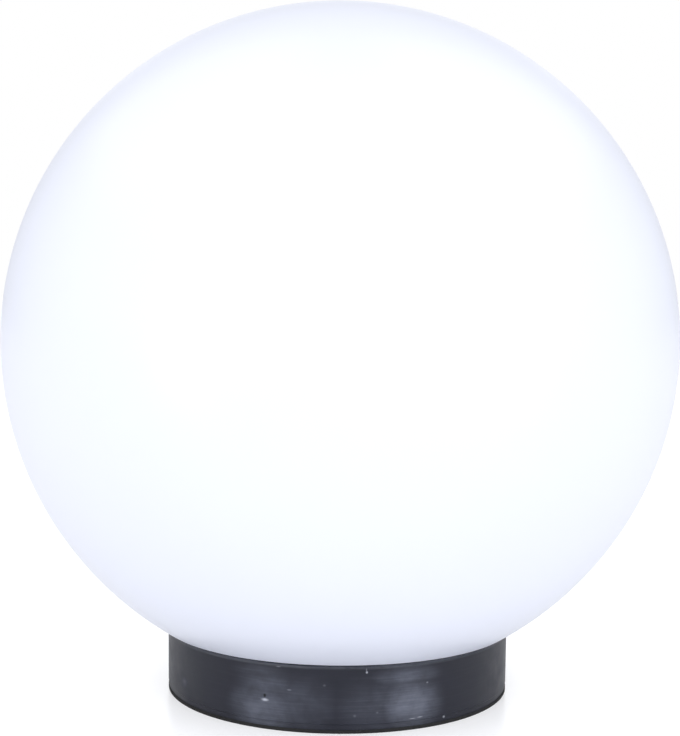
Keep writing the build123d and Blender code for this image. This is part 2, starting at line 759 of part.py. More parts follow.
def bulb_housing():
    """White plastic body: spigot in the cap, waist, and a rim with a seat for the LED board."""
    spigot_r = BULB_CAP_R - BULB_CAP_T - BULB_SPIGOT_CLEAR
    spigot_in_r = spigot_r - BULB_SHELL_T
    waist_z = cap_top_z + BULB_GAP
    waist_r = BULB_CAP_R + BULB_CAP_T
    length = seam_z - waist_z
    lean = Vector(BULB_SEAM_DROP / bulb_r, seam_r / bulb_r)
    outer_pull = Vector(seam_r, seam_z) - lean * (length * BULB_RIM_PULL)
    ledge_r = led_seat_r - LED_LEDGE
    ledge_low_z = led_z - LED_LEDGE
    inner_pull = Vector(ledge_r, ledge_low_z) - lean * (length * BULB_INNER_PULL)
    bend_z = waist_z + length * BULB_WAIST_PULL
    spigot_z = cap_top_z - BULB_SPIGOT_L
    return turned(
        Polyline(
            (spigot_in_r, spigot_z),
            (spigot_r, spigot_z),
            (spigot_r, waist_z),
            (waist_r, waist_z),
        ),
        Bezier(
            (waist_r, waist_z),
            (waist_r, bend_z),
            (outer_pull.X, outer_pull.Y),
            (seam_r, seam_z),
        ),
        Polyline(
            (seam_r, seam_z),
            (led_seat_r, seam_z),
            (led_seat_r, led_z),
            (ledge_r, led_z),
            (ledge_r, ledge_low_z),
        ),
        Bezier(
            (ledge_r, ledge_low_z),
            (inner_pull.X, inner_pull.Y),
            (spigot_in_r, bend_z),
            (spigot_in_r, waist_z),
        ),
        Line((spigot_in_r, waist_z), (spigot_in_r, spigot_z)),
    )


def bulb_dome():
    """Diffusing dome, open below."""
    inner_r = bulb_r - BULB_DOME_T
    inner_seam_r = math.sqrt(inner_r**2 - BULB_SEAM_DROP**2)
    return turned(
        ThreePointArc((0, dome_z + bulb_r), (bulb_r, dome_z), (seam_r, seam_z)),
        Line((seam_r, seam_z), (inner_seam_r, seam_z)),
        ThreePointArc((inner_seam_r, seam_z), (inner_r, dome_z), (0, dome_z + inner_r)),
        Line((0, dome_z + inner_r), (0, dome_z + bulb_r)),
    )


def led_board():
    """Aluminium disc that carries the LEDs."""
    return post(led_seat_r - LED_BOARD_CLEAR, led_z, led_z + LED_BOARD_T)


def led_chips():
    """Ring of LEDs and one in the middle."""
    low = led_z + LED_BOARD_T
    chip = block(LED_L, LED_W, low, low + LED_T)
    return [*ring_of(LED_COUNT, Pos(LED_RING_R, 0, 0) * chip), chip]


def driver_board():
    """Upright circuit board under the LED board."""
    return block(DRIVER_W, DRIVER_T, cap_top_z - DRIVER_TAIL, led_z)


def driver_capacitor():
    """Can capacitor beside the circuit board."""
    offset = DRIVER_T / 2 + CAPACITOR_CLEAR + CAPACITOR_R
    top = led_z - CAPACITOR_DROP
    return post(CAPACITOR_R, top - CAPACITOR_L, top, 0, offset)


# ---------------------------------------------------------------- terminal block and wires
def well_places():
    """Plan positions of the clamping screws, two for each pole."""
    return [(x, block_y + side * WELL_SPACING / 2) for x in pole_x for side in (-1, 1)]


def terminal_block():
    """Three-pole nylon block with raised screw wells."""
    top = block_z + BLOCK_H
    body = block(block_w, BLOCK_D, block_z, top, 0, block_y)
    body = chamfer(body.edges().group_by(Axis.Z)[-1], BLOCK_EDGE)
    for x, y in well_places():
        body += post(WELL_R, top - LAP, top + WELL_H, x, y)
    for x, y in well_places():
        body -= post(CLAMP_SCREW_R + 4 * SCREW_CLEAR, tube_z, top + WELL_H + CUT, x, y)
    for x in pole_x:
        along = Pos(x, block_y, tube_z) * Rot(90, 0, 0)
        body -= along * Cylinder(TUBE_R + SCREW_CLEAR, BLOCK_D + 2 * CUT)
    body -= post(FIXING_SCREW_R + 2 * SCREW_CLEAR, block_z - CUT, top + CUT, fixing_x, block_y)
    body -= post(FIXING_HEAD_R + 2 * SCREW_CLEAR, fixing_seat_z, top + CUT, fixing_x, block_y)
    return body


def terminal_tubes():
    """Brass tubes of the three poles, drilled for their screws."""
    tubes = []
    for x in pole_x:
        along = Pos(x, block_y, tube_z) * Rot(90, 0, 0)
        brass = along * (Cylinder(TUBE_R, TUBE_L) - Cylinder(TUBE_BORE_R, TUBE_L + 2 * CUT))
        for side in (-1, 1):
            y = block_y + side * WELL_SPACING / 2
            brass -= post(CLAMP_SCREW_R + SCREW_CLEAR, tube_z, tube_z + 2 * TUBE_R, x, y)
        tubes.append(brass)
    return tubes


def terminal_screws():
    """Clamping screws, ending on the wires."""
    low = tube_z + WIRE_R + SCREW_CLEAR
    return [post(CLAMP_SCREW_R, low, low + CLAMP_SCREW_L, x, y) for x, y in well_places()]


def terminal_fixing_screw():
    """Screw that holds the block to its pad."""
    shank = fixing_seat_z - block_z + FIXING_BITE
    return screw(fixing_x, block_y, fixing_seat_z, FIXING_HEAD_R, FIXING_HEAD_H, FIXING_SCREW_R, shank)


def lamp_wire(pole, side, tower_side):
    """One lamp wire: terminal block, under the nut, up the nipple, out to its tower."""
    tube_end = block_y + TUBE_L / 2
    out_y = -BRACKET_W / 2 - BLOCK_GAP / 2
    low_z = floor_z + 2.6 * WIRE_R
    nipple_end = bracket_z - NIPPLE_BELOW
    x = side * WIRE_SPREAD
    turn_z = bracket_top_z + NIPPLE_ABOVE + 2.3 * WIRE_R
    return routed(
        [
            (pole, tube_end - WIRE_GRIP, tube_z),
            (pole, out_y, tube_z),
            (x, -NIPPLE_R - WIRE_R, low_z),
            (x, 0, nipple_end - 2 * WIRE_R),
            (x, 0, turn_z),
            (tower_side * TOWER_X, 0, tower_z - 1.6 * WIRE_R),
            (tower_side * TOWER_X, 0, insert_z - 1),
        ],
        WIRE_R,
    )


def wire_line():
    """Lamp wire of the outer pole."""
    return lamp_wire(pole_x[0], -1, -1)


def wire_neutral():
    """Lamp wire of the middle pole."""
    return lamp_wire(pole_x[1], 1, 1)


def wire_earth():
    """Earth wire from the last pole to the eyelet on the bracket."""
    tube_end = block_y + TUBE_L / 2
    level = bracket_top_z + EYELET_BARREL_R
    edge_y = -BRACKET_W / 2
    return routed(
        [
            (pole_x[2], tube_end - WIRE_GRIP, tube_z),
            (pole_x[2], edge_y - 0.75 * BLOCK_GAP, tube_z),
            (earth_x, edge_y - 0.45 * BLOCK_GAP, level),
            (earth_x, -EYELET_R - EYELET_BARREL_L / 2, level),
        ],
        WIRE_R,
    )


# ---------------------------------------------------------------- output
NODES = [
    base_housing,
    base_gasket,
    cable_grommet,
    lampholder_bracket,
    bracket_screws,
    earth_eyelet,
    earth_screw,
    holder_nipple,
    nipple_nut,
    nipple_washer,
    holder_cap,
    holder_insert,
    holder_shell,
    holder_skirt,
    centre_contact,
    side_contact,
    holder_terminal_screws,
    terminal_block,
    terminal_tubes,
    terminal_screws,
    terminal_fixing_screw,
    wire_line,
    wire_neutral,
    wire_earth,
    globe_seal,
    globe,
    bulb_cap,
    bulb_insulator,
    bulb_contact,
    bulb_housing,
    bulb_dome,
    led_board,
    led_chips,
    driver_board,
    driver_capacitor,
]

os.makedirs("parts", exist_ok=True)
for make in NODES:
    shape = make()
    if isinstance(shape, list):
        shape = Compound(children=shape)
    export_step(shape, f"parts/{make.__name__}.step")
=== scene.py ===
"""Garden globe light: an opal ball on a low black collar, with its bulb, lampholder and wiring inside.

Lengths are millimetres of the real light, and MM turns them into the scene's metres. Only the studio
is laid out in metres, and the grain of a finish is counted for each metre. Heights are above the
underside of the foot gasket, radii are from the light's upright axis, and an azimuth is in degrees from
the front, to the right.
"""

import math

import bmesh
import bpy
from mathutils import Matrix, Vector


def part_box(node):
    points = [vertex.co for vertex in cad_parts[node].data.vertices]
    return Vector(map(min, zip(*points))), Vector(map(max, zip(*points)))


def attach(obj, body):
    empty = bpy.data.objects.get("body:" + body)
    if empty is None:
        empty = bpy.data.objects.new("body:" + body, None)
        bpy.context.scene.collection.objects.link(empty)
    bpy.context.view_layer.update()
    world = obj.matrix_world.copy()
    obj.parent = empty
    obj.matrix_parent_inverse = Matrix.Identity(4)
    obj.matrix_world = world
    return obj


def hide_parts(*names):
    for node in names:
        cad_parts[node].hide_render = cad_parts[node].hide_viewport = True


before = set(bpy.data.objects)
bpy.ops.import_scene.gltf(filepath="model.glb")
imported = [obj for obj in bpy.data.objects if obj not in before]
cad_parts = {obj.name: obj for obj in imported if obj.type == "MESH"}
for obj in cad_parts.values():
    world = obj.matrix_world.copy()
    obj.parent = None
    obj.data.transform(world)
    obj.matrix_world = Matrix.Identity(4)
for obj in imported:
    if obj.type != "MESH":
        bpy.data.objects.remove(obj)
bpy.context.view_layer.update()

MM = 0.001

# ---------------------------------------------------------------- sizes shared with the solids
GLOBE_R = 125.0
GLOBE_WALL = 2.0
GLOBE_EDGE_R = 4.0
SHOULDER_Z = 23.9
SHOULDER_R = 64.45
NECK_R = 55.0
NECK_ROOT_R = 1.0
NECK_Z = 15.5
NECK_CHAMFER = 0.4
LUG_COUNT = 3
LUG_ARC = 22.0
LUG_R = 58.5
LUG_Z = 16.2
LUG_TOP_Z = 18.4
LUG_RAMP_ARC = 5.0
LUG_RAMP_DROP = 0.9
LUG_ROUNDING = 0.25

COLLAR_R = 64.15

SHELL_LOW_Z = 38.5
SHELL_TOP_Z = 64.0
SHELL_R = 13.3
SHELL_WALL = 0.5
SHELL_LIP_R = 11.0
SHELL_PLAIN_LENGTH = 2.5    # above the thread

CAP_LOW_Z = 48.0
CAP_TOP_Z = 70.0
CAP_R = 13.0
CAP_WALL = 0.35
CAP_MOUTH_R = 11.2          # rolled in round the insulator
CAP_LIP = 0.4
CAP_CURL = 1.4              # height of the rolled corner
THREAD_PITCH = 3.629
THREAD_DEPTH = 0.62
THREAD_START_Z = 50.5
THREAD_END_Z = 66.0
THREAD_LEAD = 4.0           # how much lower the holder's thread starts
THREAD_RUN_OUT = 1.2
THREAD_STEP = 0.2           # between rings of the mesh
HOUSING_LOW_Z = 54.0
HOUSING_Z = 70.3
HOUSING_WAIST_R = 13.4
HOUSING_SPIGOT_R = 11.7
HOUSING_WALL = 1.6
HOUSING_CHAMFER = 0.3
HOUSING_BEND = 0.35         # share of the height where the waist begins to widen
HOUSING_PULL = 0.3          # share of the height over which the side leaves the seam straight
HOUSING_INNER_PULL = 0.25
BULB_R = 30.0
DOME_Z = 123.0
SEAM_Z = 109.0
DOME_WALL = 1.2
LED_BOARD_Z = 106.5
LED_SEAT_R = 23.6
LED_LEDGE = 1.7
SEAM_GROOVE = (0.25, 0.35)  # depth, height
SEAM_GROOVE_ARC = 1.2       # degrees of the dome

NIPPLE_R = 5.0
NIPPLE_BORE_R = 3.8
NIPPLE_PITCH = 1.0
NIPPLE_THREAD_DEPTH = 0.35
NIPPLE_CHAMFER = 0.3
NIPPLE_RUN_OUT = 0.5

SCREW_EDGE = 0.12
SCREW_RUN_OUT = 0.6         # of the thread at both ends of the shank

CLAMP_SCREW_R = 1.4
CLAMP_SCREW_XS = (-10, 0, 10)
CLAMP_SCREW_YS = (-29.8, -22.2)
CLAMP_SLOT = (4, 0.5, 1.6)  # length, width, twice the depth

SHARP_ANGLE = 32.0          # degrees between faces from which an edge stays crisp
SAME_R = 0.001              # two radii closer than this are the same

ball_edge_r = GLOBE_R - GLOBE_EDGE_R
edge_angle = math.degrees(math.acos(SHOULDER_R / ball_edge_r))
globe_z = SHOULDER_Z + GLOBE_EDGE_R + ball_edge_r * math.sin(math.radians(edge_angle))
seam_r = math.sqrt(BULB_R**2 - (DOME_Z - SEAM_Z) ** 2)

# ---------------------------------------------------------------- camera of the photograph
CAMERA_DISTANCE = 562.5
CAMERA_RISE = 3.0           # degrees above the ball's centre
CAMERA_PITCH = 4.01         # degrees down
CAMERA_ROLL = 0.56          # degrees
CAMERA_LENS = 72.96
CAMERA_SENSOR = 36.0

# ---------------------------------------------------------------- studio, in metres and watts
SKY_FRONT = 1.48
SKY_BACK = 0.57
SKY_COLOUR = (0.985, 0.99, 1.0, 1)
FLOOR_R = 6.0
FLOOR_COLOUR = (0.76, 0.76, 0.76, 1)
FLOOR_GLOW = 0.19           # lit from below
FLOOR_WHITE = 0.42          # for the camera, as on a light table
LIGHT_AIM = 0.6             # share of the height of the ball's centre
SOFT_BOX_HEIGHT = 0.24
SOFT_BOX_DISTANCE = 0.9
SOFT_BOX_ELEVATION = 3
SOFT_BOXES = (
    # name, azimuth, width, power
    ("left_box", -45, 0.16, 0.62),
    ("right_box", 48, 0.19, 0.80),
)
FILL_SIZE = 1.2
FILL_DISTANCE = 1.5
FILLS = (
    # name, azimuth, elevation, power
    ("left_fill", -110, 55, 2.2),
    ("right_fill", 110, 55, 2.3),
    ("back_fill", 180, 6, 2.0),
)

# ---------------------------------------------------------------- opal of the ball
OPAL_TONES = (0.785, 0.815, 0.925, 1), (0.80, 0.83, 0.94, 1)
INSIDE_GLOW = (0.155, 0.147, 0.115, 1)      # painted glow on the inside, standing in for daylight that comes through the wall

# ---------------------------------------------------------------- collar's black, and the marks, painted highlights and painted shade on its side
COLLAR_TONES = (0.0082, 0.0094, 0.0175, 1), (0.0122, 0.0136, 0.0250, 1)
# lighter haze: partly smeared dust, partly the collar's soft highlights painted into its colour
HAZE_AND_SHEEN = (0.28, 0.305, 0.39, 1)
SCRATCHED = (0.32, 0.34, 0.40, 1)
# painted highlight along the rim's rounded edge
RIM_HIGHLIGHT_TONE = (0.33, 0.35, 0.40, 1)
# light grey of the specks, and of the painted glint on the ding's lower lip
SPECK_AND_GLINT_TONE = (0.52, 0.54, 0.62, 1)
SHADED = (0.002, 0.002, 0.003, 1)

MARK_REACH = 4.0            # how far a mark's oval reaches in and out from the collar's side
# each mark: azimuth, height, half width along and up; a speck and a smear also have a strength
DING = (-22.7, 11.0, 1.6, 1.2)
DING_SHADE = (-22.7, 11.7, 0.75, 0.95)
SPECKS_AND_DING_GLINT = (
    # the ding's lower lip: a painted glint
    (-22.6, 10.2, 1.90, 0.75, 0.80),
    (9.1, 21.2, 0.55, 0.60, 0.75),
    (9.0, 22.0, 0.30, 1.00, 0.25),
    (35.8, 2.6, 0.75, 0.65, 0.55),
    (29.1, 15.9, 0.65, 0.45, 0.30),
    (-18.2, 22.3, 1.30, 0.30, 0.22),
    (-14.7, 14.5, 1.20, 0.40, 0.20),
    (-3.8, 16.7, 0.80, 0.60, 0.10),
    (5.5, 6.2, 0.80, 0.70, 0.10),
    (12.5, 7.1, 0.70, 0.55, 0.10),
    (24.0, 3.9, 1.80, 0.22, 0.50),
    (26.6, 4.1, 1.60, 0.20, 0.65),
)
# smears on the collar's side; the large patches either side of the front also carry its soft highlights as
# painted sheen
SMEARS_AND_SHEEN = (
    (-59.2, 8.6, 2.6, 2.4, 0.35),
    (23.5, 9.0, 17.0, 12.0, 1.00),
    (22.0, 18.8, 18.0, 5.0, 0.60),
    (13.0, 9.5, 24.0, 13.0, 0.30),
    (-23.5, 7.0, 19.0, 12.0, 0.80),
    (-22.0, 15.0, 16.0, 9.0, 0.45),
    (-24.0, 19.8, 15.0, 3.6, 0.30),
    (-14.0, 10.0, 26.0, 13.0, 0.34),
)
RIM_HIGHLIGHT = (22.0, 22.9, 23.25, 23.5)    # heights where the painted highlight on the rim starts, is full, fades and ends

# ---------------------------------------------------------------- earth wire
STRIPE_WAVES = 2600.0       # radians of the stripes' wave for each metre


# ---------------------------------------------------------------- mesh helpers
def arc(centre_r, centre_z, radius, start, end, steps):
    """Points of an outline on a circle, angles in degrees above level."""
    points = []
    for i in range(steps + 1):
        a = math.radians(start + (end - start) * i / steps)
        points.append((centre_r + radius * math.cos(a), centre_z + radius * math.sin(a)))
    return points


def bezier(p0, p1, p2, p3, steps):
    """Points of an outline on a cubic curve."""
    points = []
    for i in range(steps + 1):
        t = i / steps
        u = 1 - t
        weights = (u**3, 3 * u * u * t, 3 * u * t * t, t**3)
        points.append(tuple(sum(w * p[k] for w, p in zip(weights, (p0, p1, p2, p3))) for k in (0, 1)))
    return points


def mark_sharp(bm):
    """Smooth faces with crisp edges where the surface turns sharply."""
    limit = math.radians(SHARP_ANGLE)
    for face in bm.faces:
        face.smooth = True
    for edge in bm.edges:
        edge.smooth = len(edge.link_faces) == 2 and edge.calc_face_angle(0.0) < limit


def turned_mesh(outline, segments=96, closed=True, radius_at=None):
    """A turned surface from an outline of (radius, height); radius_at can vary the radius round it."""
    bm = bmesh.new()
    rings = []
    for r, z in outline:
        if r < 1e-6:
            rings.append([bm.verts.new((0, 0, z * MM))])
            continue
        ring = []
        for i in range(segments):
            a = 2 * math.pi * i / segments
            here = radius_at(r, z, a) if radius_at else r
            ring.append(bm.verts.new((here * MM * math.cos(a), here * MM * math.sin(a), z * MM)))
        rings.append(ring)
    pairs = list(zip(rings, rings[1:]))
    if closed:
        pairs.append((rings[-1], rings[0]))
    for low, high in pairs:
        for i in range(segments):
            j = (i + 1) % segments
            corners = [low[i % len(low)], low[j % len(low)], high[j % len(high)], high[i % len(high)]]
            corners = list(dict.fromkeys(corners))
            if len(corners) > 2:
                bm.faces.new(corners)
    bmesh.ops.recalc_face_normals(bm, faces=bm.faces)
    return bm


def piece(name, bm, material, body, replaced):
    """An object that rides on a body, in place of a node's solids."""
    mark_sharp(bm)
    mesh = bpy.data.meshes.new(name)
    bm.to_mesh(mesh)
    bm.free()
    mesh.materials.append(material)
    obj = bpy.data.objects.new(name, mesh)
    bpy.context.scene.collection.objects.link(obj)
    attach(obj, body)
    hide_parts(replaced)


def merged(*meshes):
    """One bmesh out of several."""
    whole = bmesh.new()
    for bm in meshes:
        mesh = bpy.data.meshes.new("part")
        bm.to_mesh(mesh)
        bm.free()
        whole.from_mesh(mesh)
        bpy.data.meshes.remove(mesh)
    return whole


def moved(bm, x=0.0, y=0.0, z=0.0, turn=None):
    """A bmesh turned by a matrix and then moved by millimetres."""
    if turn is not None:
        bm.transform(turn)
    bm.transform(Matrix.Translation((x * MM, y * MM, z * MM)))
    return bm


def carved(bm, *cutters):
    """A bmesh with others cut out of it."""
    body = bpy.data.objects.new("body", bpy.data.meshes.new("body"))
    bm.to_mesh(body.data)
    bm.free()
    bpy.context.scene.collection.objects.link(body)
    tools = []
    for cutter in cutters:
        tool = bpy.data.objects.new("tool", bpy.data.meshes.new("tool"))
        cutter.to_mesh(tool.data)
        cutter.free()
        bpy.context.scene.collection.objects.link(tool)
        cut = body.modifiers.new("cut", "BOOLEAN")
        cut.operation = "DIFFERENCE"
        cut.solver = "EXACT"
        cut.object = tool
        tools.append(tool)
    bpy.context.view_layer.update()
    done = body.evaluated_get(bpy.context.evaluated_depsgraph_get()).to_mesh()
    result = bmesh.new()
    result.from_mesh(done)
    for obj in (body, *tools):
        mesh = obj.data
        bpy.data.objects.remove(obj)
        bpy.data.meshes.remove(mesh)
    return result


def box_mesh(width, depth, height, taper=1.0):
    """A box centred on the origin, with its lower face scaled by the taper."""
    bm = bmesh.new()
    bmesh.ops.create_cube(bm, size=1.0)
    for v in bm.verts:
        scale = taper if v.co.z < 0 else 1.0
        v.co = Vector((v.co.x * width * scale, v.co.y * depth * scale, v.co.z * height)) * MM
    return bm


# ---------------------------------------------------------------- shader helpers
def node(tree, kind, **settings):
    """A shader node with its properties and socket values set."""
    made = tree.nodes.new(kind)
    for key, value in settings.items():
        if hasattr(made, key):
            setattr(made, key, value)
        else:
            made.inputs[key.replace("_", " ")].default_value = value
    return made


def maths(tree, operation, a, b=None):
    """A maths node whose inputs are sockets or numbers."""
    made = node(tree, "ShaderNodeMath", operation=operation)
    for socket, value in zip(made.inputs, (a, b)):
        if value is None:
            continue
        if isinstance(value, (int, float)):
            socket.default_value = value
        else:
            tree.links.new(value, socket)
    return made.outputs[0]


def mixed(tree, factor, low, high):
    """A colour between two, by a factor."""
    made = node(tree, "ShaderNodeMix", data_type="RGBA")
    for socket, value in zip((made.inputs[0], made.inputs[6], made.inputs[7]), (factor, low, high)):
        if isinstance(value, bpy.types.NodeSocket):
            tree.links.new(value, socket)
        else:
            socket.default_value = value
    return made.outputs[2]


def ranged(tree, value, from_low, from_high, to_low, to_high):
    """A value mapped from one range to another and held inside it."""
    made = node(tree, "ShaderNodeMapRange", clamp=True)
    for socket, number in zip(made.inputs[1:5], (from_low, from_high, to_low, to_high)):
        socket.default_value = number
    tree.links.new(value, made.inputs[0])
    return made.outputs[0]


def coordinate(tree, place, axis):
    """One coordinate of a place."""
    split = node(tree, "ShaderNodeSeparateXYZ")
    tree.links.new(place, split.inputs[0])
    return split.outputs[axis]


def new_group(name, inputs, outputs):
    """An empty shader node group with named sockets and defaults."""
    group = bpy.data.node_groups.new(name, "ShaderNodeTree")
    for label, kind, value in inputs:
        socket = group.interface.new_socket(label, in_out="INPUT", socket_type=kind)
        if value is not None:
            socket.default_value = value
    for label, kind in outputs:
        group.interface.new_socket(label, in_out="OUTPUT", socket_type=kind)
    start = group.nodes.new("NodeGroupInput")
    end = group.nodes.new("NodeGroupOutput")
    return group, start.outputs, end.inputs


FLOAT = "NodeSocketFloat"


def moulding_group():
    """Fine moulded skin: cloudy tone, a pebbled height and dust settled in it."""
    group, given, result = new_group(
        "moulded_skin",
        [("Scale", FLOAT, 400.0), ("Cloud Scale", FLOAT, 30.0), ("Dust", FLOAT, 0.3)],
        [("Tone", FLOAT), ("Height", FLOAT), ("Dust", FLOAT)],
    )
    place = node(group, "ShaderNodeTexCoord").outputs["Object"]
    cloud = node(group, "ShaderNodeTexNoise", Detail=4.0, Roughness=0.55)
    grain = node(group, "ShaderNodeTexNoise", Detail=3.0, Roughness=0.6)
    specks = node(group, "ShaderNodeTexVoronoi", Randomness=1.0)
    for made, scale in ((cloud, "Cloud Scale"), (grain, "Scale"), (specks, "Scale")):
        group.links.new(place, made.inputs["Vector"])
        group.links.new(given[scale], made.inputs["Scale"])
    group.links.new(cloud.outputs[0], result["Tone"])
    group.links.new(grain.outputs[0], result["Height"])
    speck = ranged(group, specks.outputs["Distance"], 0.10, 0.20, 1.0, 0.0)
    patch = ranged(group, cloud.outputs[0], 0.48, 0.66, 0.0, 1.0)
    dusty = maths(group, "MULTIPLY", speck, patch)
    group.links.new(maths(group, "MULTIPLY", dusty, given["Dust"]), result["Dust"])
    return group


def scratch_group():
    """Fine wipe scratches that run round the light, level and thin."""
    group, given, result = new_group(
        "wipe_scratches",
        [("Fineness", FLOAT, 900.0), ("Amount", FLOAT, 0.4)],
        [("Scratch", FLOAT), ("Streak", FLOAT)],
    )
    place = node(group, "ShaderNodeTexCoord").outputs["Object"]
    stretch = node(group, "ShaderNodeMapping", vector_type="POINT")
    stretch.inputs["Scale"].default_value = (0.035, 0.035, 1.0)
    group.links.new(place, stretch.inputs["Vector"])
    lines = node(group, "ShaderNodeTexNoise", Detail=5.0, Roughness=0.75, Distortion=0.15)
    group.links.new(stretch.outputs[0], lines.inputs["Vector"])
    group.links.new(given["Fineness"], lines.inputs["Scale"])
    group.links.new(lines.outputs[0], result["Streak"])
    thin = ranged(group, lines.outputs[0], 0.50, 0.68, 0.0, 1.0)
    group.links.new(maths(group, "MULTIPLY", thin, given["Amount"]), result["Scratch"])
    return group


def brushed_group():
    """Rolled or turned metal: fine lines along one axis, and cloudy tarnish."""
    group, given, result = new_group(
        "worked_metal",
        [("Fineness", FLOAT, 600.0), ("Tarnish Scale", FLOAT, 90.0)],
        [("Lines", FLOAT), ("Tarnish", FLOAT)],
    )
    place = node(group, "ShaderNodeTexCoord").outputs["Object"]
    stretch = node(group, "ShaderNodeMapping", vector_type="POINT")
    stretch.inputs["Scale"].default_value = (0.06, 1.0, 1.0)
    group.links.new(place, stretch.inputs["Vector"])
    lines = node(group, "ShaderNodeTexNoise", Detail=3.0, Roughness=0.6)
    group.links.new(stretch.outputs[0], lines.inputs["Vector"])
    group.links.new(given["Fineness"], lines.inputs["Scale"])
    stain = node(group, "ShaderNodeTexNoise", Detail=5.0, Roughness=0.65)
    group.links.new(place, stain.inputs["Vector"])
    group.links.new(given["Tarnish Scale"], stain.inputs["Scale"])
    group.links.new(lines.outputs[0], result["Lines"])
    group.links.new(ranged(group, stain.outputs[0], 0.42, 0.68, 0.0, 1.0), result["Tarnish"])
    return group


moulded_skin = moulding_group()
wipe_scratches = scratch_group()
worked_metal = brushed_group()


def new_material(name):
    """An empty material with its Principled shader."""
    material = bpy.data.materials.new(name)
    material.use_nodes = True
    tree = material.node_tree
    return material, tree, tree.nodes["Principled BSDF"]


def placed_group(tree, group, **values):
    """A node group in a material with its own values."""
    made = node(tree, "ShaderNodeGroup", node_tree=group)
    for key, value in values.items():
        made.inputs[key.replace("_", " ")].default_value = value
    return made.outputs


def bump(tree, shader, height, distance):
    """Relief on a shader from a height, with its real depth in millimetres."""
    made = node(tree, "ShaderNodeBump", Strength=1.0, Distance=distance * MM)
    tree.links.new(height, made.inputs["Height"])
    tree.links.new(made.outputs[0], shader.inputs["Normal"])


def plastic(name, dark, light, roughness, relief=0.01, scale=400.0, dust=0.0, specular=0.5):
    """Moulded plastic or rubber: cloudy colour, uneven gloss and a fine skin."""
    material, tree, shader = new_material(name)
    skin = placed_group(tree, moulded_skin, Scale=scale, Cloud_Scale=scale / 14, Dust=dust)
    colour = mixed(tree, skin["Tone"], (*dark, 1), (*light, 1))
    if dust:
        colour = mixed(tree, skin["Dust"], colour, (0.45, 0.44, 0.42, 1))
    tree.links.new(colour, shader.inputs["Base Color"])
    gloss = ranged(tree, skin["Tone"], 0.35, 0.65, roughness * 0.85, roughness * 1.15)
    tree.links.new(gloss, shader.inputs["Roughness"])
    shader.inputs["Specular IOR Level"].default_value = specular
    bump(tree, shader, skin["Height"], relief)
    return material


def metal(name, bright, tarnished, roughness, fineness=600.0):
    """Bare or plated metal with working lines and tarnish."""
    material, tree, shader = new_material(name)
    work = placed_group(tree, worked_metal, Fineness=fineness, Tarnish_Scale=fineness / 7)
    tree.links.new(mixed(tree, work["Tarnish"], (*bright, 1), (*tarnished, 1)), shader.inputs["Base Color"])
    gloss = ranged(tree, work["Tarnish"], 0.0, 1.0, roughness, roughness * 1.6)
    tree.links.new(gloss, shader.inputs["Roughness"])
    shader.inputs["Metallic"].default_value = 1.0
    bump(tree, shader, work["Lines"], 0.004)
    return material


def inner_face(tree):
    """1 on the inside of the ball, and 0 on its outside, neck and lugs."""
    place = node(tree, "ShaderNodeTexCoord").outputs["Object"]
    reach = node(tree, "ShaderNodeVectorMath", operation="DISTANCE")
    reach.inputs[1].default_value = (0, 0, globe_z * MM)
    tree.links.new(place, reach.inputs[0])
    middle_r = GLOBE_R - GLOBE_WALL / 2
    within = ranged(tree, reach.outputs["Value"], (middle_r - 0.2) * MM, (middle_r + 0.2) * MM, 1.0, 0.0)
    middle_z = SHOULDER_Z + GLOBE_WALL / 2
    height = coordinate(tree, place, "Z")
    above = ranged(tree, height, (middle_z - 0.2) * MM, (middle_z + 0.2) * MM, 0.0, 1.0)
    return maths(tree, "MULTIPLY", within, above)


def opal_material():
    """Opal plastic of the ball: a clean cool white, and inside it a painted glow that stands in for the light
    that comes through the wall.
    """
    material, tree, shader = new_material("opal_plastic")
    skin = placed_group(tree, moulded_skin, Scale=160.0, Cloud_Scale=9.0)
    tree.links.new(mixed(tree, skin["Tone"], *OPAL_TONES), shader.inputs["Base Color"])
    tree.links.new(ranged(tree, skin["Tone"], 0.2, 0.8, 0.27, 0.31), shader.inputs["Roughness"])
    # painted glow on the inner face
    tree.links.new(mixed(tree, inner_face(tree), (0, 0, 0, 1), INSIDE_GLOW), shader.inputs["Emission Color"])
    shader.inputs["Emission Strength"].default_value = 1.0
    return material


def mark_mask(tree, place, mark, soft):
    """A soft oval on the collar's side at a mark's azimuth and height."""
    azimuth, height, across, up = mark[:4]
    a = math.radians(azimuth)
    spot = Vector((COLLAR_R * math.sin(a), -COLLAR_R * math.cos(a), height)) * MM
    away = node(tree, "ShaderNodeMapping", vector_type="TEXTURE")
    away.inputs["Location"].default_value = spot
    away.inputs["Rotation"].default_value = (0, 0, a)
    away.inputs["Scale"].default_value = (across * MM, MARK_REACH * MM, up * MM)
    tree.links.new(place, away.inputs["Vector"])
    length = node(tree, "ShaderNodeVectorMath", operation="LENGTH")
    tree.links.new(away.outputs[0], length.inputs[0])
    fall = ranged(tree, length.outputs["Value"], 1.0 - soft, 1.0, 1.0, 0.0)
    fall.node.interpolation_type = "SMOOTHSTEP"
    return fall


def strongest(tree, place, marks, soft):
    """The strongest of several marks at each point."""
    found = None
    for mark in marks:
        patch = maths(tree, "MULTIPLY", mark_mask(tree, place, mark, soft), mark[4])
        found = patch if found is None else maths(tree, "MAXIMUM", found, patch)
    return found


def rim_highlight_mask(tree, height, streak):
    """The painted highlight just below the collar's rim, where its rounded edge catches light, broken up by
    the wipe streaks.
    """
    start, full, fade_from, end = (z * MM for z in RIM_HIGHLIGHT)
    rise = ranged(tree, height, start, full, 0.0, 1.0)
    fall = ranged(tree, height, fade_from, end, 1.0, 0.0)
    broken = ranged(tree, streak, 0.35, 0.6, 0.35, 1.0)
    return maths(tree, "MULTIPLY", maths(tree, "MULTIPLY", rise, fall), broken)


